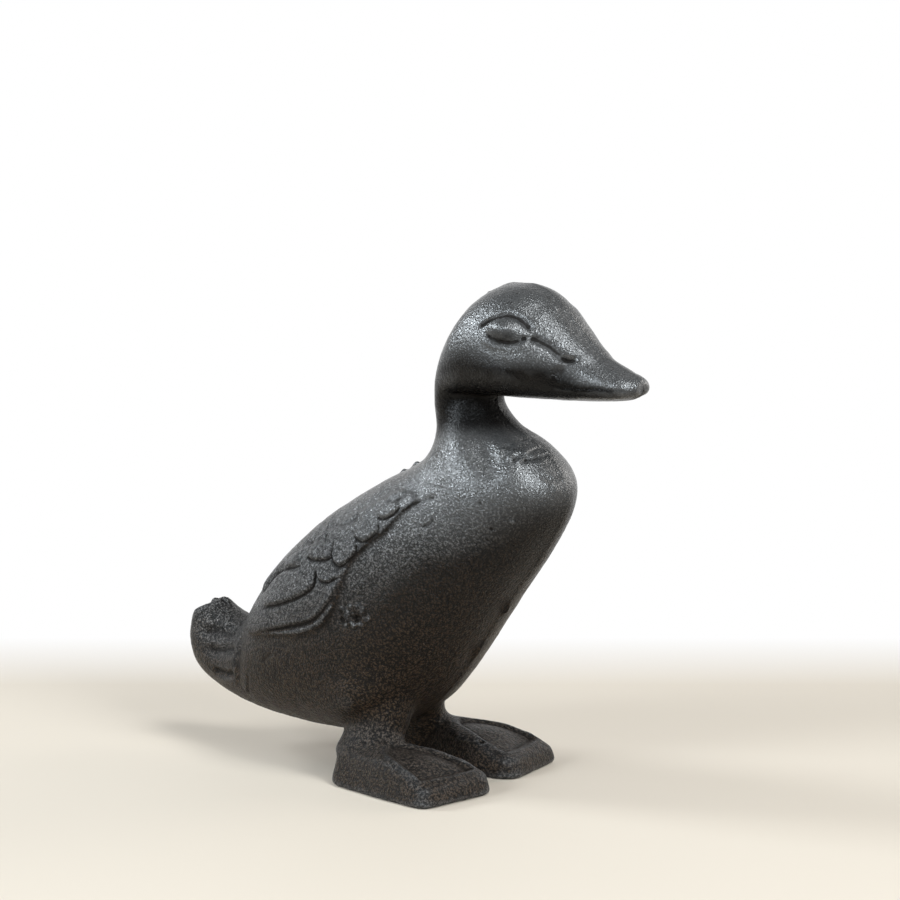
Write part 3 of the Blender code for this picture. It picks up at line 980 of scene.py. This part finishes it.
def iron_material(name):
    """Dark waxed cast iron with the grain of a sand mould, with painted sheen where it faces up and
    worn edges.
    """
    surface, tree, shader = new_surface(name)
    shader.inputs["Specular IOR Level"].default_value = 0.16
    place = shader_node(tree, "TexCoord").outputs["Object"]
    height = shader_node(tree, "SeparateXYZ", {0: place}).outputs["Z"]
    bend = shader_node(tree, "Attribute", attribute_name="bend").outputs["Fac"]
    rust_start, rust_end = RUST_HEIGHT
    calm_start, calm_end = CALM_HEIGHT
    low_down = ranged(tree, height, rust_start * MM, rust_end * MM)
    calmer = ranged(tree, height, calm_start * MM, calm_end * MM, 1.0, CALM_GRAIN)
    edges = ranged(tree, bend, *EDGE_BEND)
    hollows = ranged(tree, bend, *GROOVE_BEND, 0.0, 0.95)
    rough = sand_grain(tree, place)

    waxed = waxed_colour(tree, place, rough, low_down, hollows, edges)
    sheen_and_wear = sheen_and_wear_share(tree, rough, calmer, hollows, edges)
    # Painted sheen on places facing up, and worn edges, turn the colour to lighter metallic iron.
    tree.links.new(mixed(tree, sheen_and_wear, waxed, SHEEN_AND_WORN_IRON), shader.inputs["Base Color"])
    tree.links.new(sheen_and_wear, shader.inputs["Metallic"])

    gloss = ranged(tree, noise(tree, place, GLOSS_SIZE, 3.0), 0.3, 0.7, 0.2, 0.32)
    rusty_matte = maths(tree, "MULTIPLY", low_down, 0.1)
    dirty_matte = maths(tree, "MULTIPLY", hollows, 0.3)
    matte = maths(tree, "ADD", rusty_matte, dirty_matte)
    tree.links.new(maths(tree, "ADD", gloss, matte), shader.inputs["Roughness"])

    depth = {"Height": maths(tree, "MULTIPLY", rough, calmer), "Distance": GRAIN_DEPTH * MM}
    bump = shader_node(tree, "Bump", depth)
    tree.links.new(bump.outputs["Normal"], shader.inputs["Normal"])
    return surface


def steel_material(name):
    """Turned steel, waxed over with the castings."""
    surface, tree, shader = new_surface(name)
    shader.inputs["Metallic"].default_value = 1.0
    place = shader_node(tree, "TexCoord").outputs["Object"]
    grime = ranged(tree, noise(tree, place, GRIME_SIZE, 4.0), 0.4, 0.65)
    tree.links.new(mixed(tree, grime, STEEL, STEEL_GRIME), shader.inputs["Base Color"])
    tree.links.new(ranged(tree, grime, 0.0, 1.0, 0.34, 0.55), shader.inputs["Roughness"])
    scratches = noise(tree, place, SCRATCH_SIZE, 3.0)
    bump = shader_node(tree, "Bump", {"Height": scratches, "Distance": SCRATCH_DEPTH * MM})
    tree.links.new(bump.outputs["Normal"], shader.inputs["Normal"])
    return surface


def set_in_place(piece, surface, node):
    """Give a finished piece its material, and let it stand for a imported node."""
    piece.data.materials.clear()
    piece.data.materials.append(surface)
    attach(piece, "root")
    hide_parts(node)


def floor_material():
    """Pale matt floor, white behind the duck, and ending before the duck in reflections."""
    surface, tree, shader = new_surface("pale_floor")
    shader.inputs["Base Color"].default_value = FLOOR_COLOUR
    shader.inputs["Roughness"].default_value = FLOOR_ROUGHNESS
    place = shader_node(tree, "TexCoord").outputs["Object"]
    dot = shader_node(tree, "VectorMath", {0: place, 1: VIEW_BACK}, operation="DOT_PRODUCT")
    towards = dot.outputs["Value"]
    path = shader_node(tree, "LightPath").outputs
    mirrored = maths(tree, "MAXIMUM", path["Is Glossy Ray"], path["Is Transmission Ray"])
    seen = maths(tree, "MAXIMUM", path["Is Camera Ray"], mirrored)

    white = shader_node(tree, "Emission", {"Color": WHITE, "Strength": 1.0}).outputs["Emission"]
    behind = maths(tree, "MULTIPLY", ranged(tree, towards, *FLOOR_WHITE), seen)
    pale = shader_node(tree, "MixShader", {0: behind, 1: shader.outputs["BSDF"], 2: white})
    clear = shader_node(tree, "BsdfTransparent").outputs["BSDF"]
    before = maths(tree, "MULTIPLY", ranged(tree, towards, *FLOOR_END), path["Is Glossy Ray"])
    both = shader_node(tree, "MixShader", {0: before, 1: pale.outputs[0], 2: clear})
    tree.links.new(both.outputs[0], tree.nodes["Material Output"].inputs["Surface"])
    return surface


def pale_floor():
    """A plain pale floor."""
    shape = bmesh.new()
    bmesh.ops.create_grid(shape, x_segments=1, y_segments=1, size=FLOOR_REACH)
    floor = new_piece("floor", shape)
    floor.data.materials.append(floor_material())


def dim_room():
    """A dim room with a white wall behind the duck."""
    world = bpy.data.worlds.new("room")
    bpy.context.scene.world = world
    world.use_nodes = True
    tree = world.node_tree
    way = shader_node(tree, "TexCoord").outputs["Generated"]
    facing = shader_node(tree, "VectorMath", {0: way, 1: -VIEW_BACK}, operation="DOT_PRODUCT")
    room = ranged(tree, facing.outputs["Value"], *WALL_FACING, DIM_ROOM, WHITE_WALL)
    background = tree.nodes["Background"]
    background.inputs["Color"].default_value = WHITE
    tree.links.new(room, background.inputs["Strength"])


def soft_light(name, right, back, up, size, power, colour):
    """A square lamp turned to the duck, placed by the photograph's view."""
    lamp = bpy.data.lights.new(name, "AREA")
    lamp.size = size
    lamp.energy = power
    lamp.color = colour
    item = bpy.data.objects.new(name, lamp)
    bpy.context.scene.collection.objects.link(item)
    item.location = DUCK_MIDDLE + right * VIEW_RIGHT + back * VIEW_BACK + up * UP
    item.rotation_euler = (item.location - DUCK_MIDDLE).to_track_quat("Z", "Y").to_euler()


def photograph_view():
    """The camera, at the photograph's angle."""
    camera = bpy.data.cameras.new("camera")
    camera.lens = VIEW_LENS
    camera.sensor_width = VIEW_SENSOR
    view = bpy.data.objects.new("camera", camera)
    view.location = VIEW_PLACE
    view.rotation_euler = (VIEW_TILT, 0.0, VIEW_AZIMUTH)
    bpy.context.scene.collection.objects.link(view)
    bpy.context.scene.camera = view
    bpy.context.scene.view_settings.view_transform = "Standard"


skin = whole_skin()
carve(skin)
thin_out(skin)
for node, side in HALVES.items():
    casting = half_casting(skin, node, side)
    iron = iron_material(node.replace("half", "iron"))
    set_in_place(casting, iron, node)
removed(skin)
set_in_place(tie_screw(), steel_material("screw_steel"), "tie_screw")

pale_floor()
dim_room()
for name, values in LAMPS.items():
    soft_light(name, *values)
photograph_view()
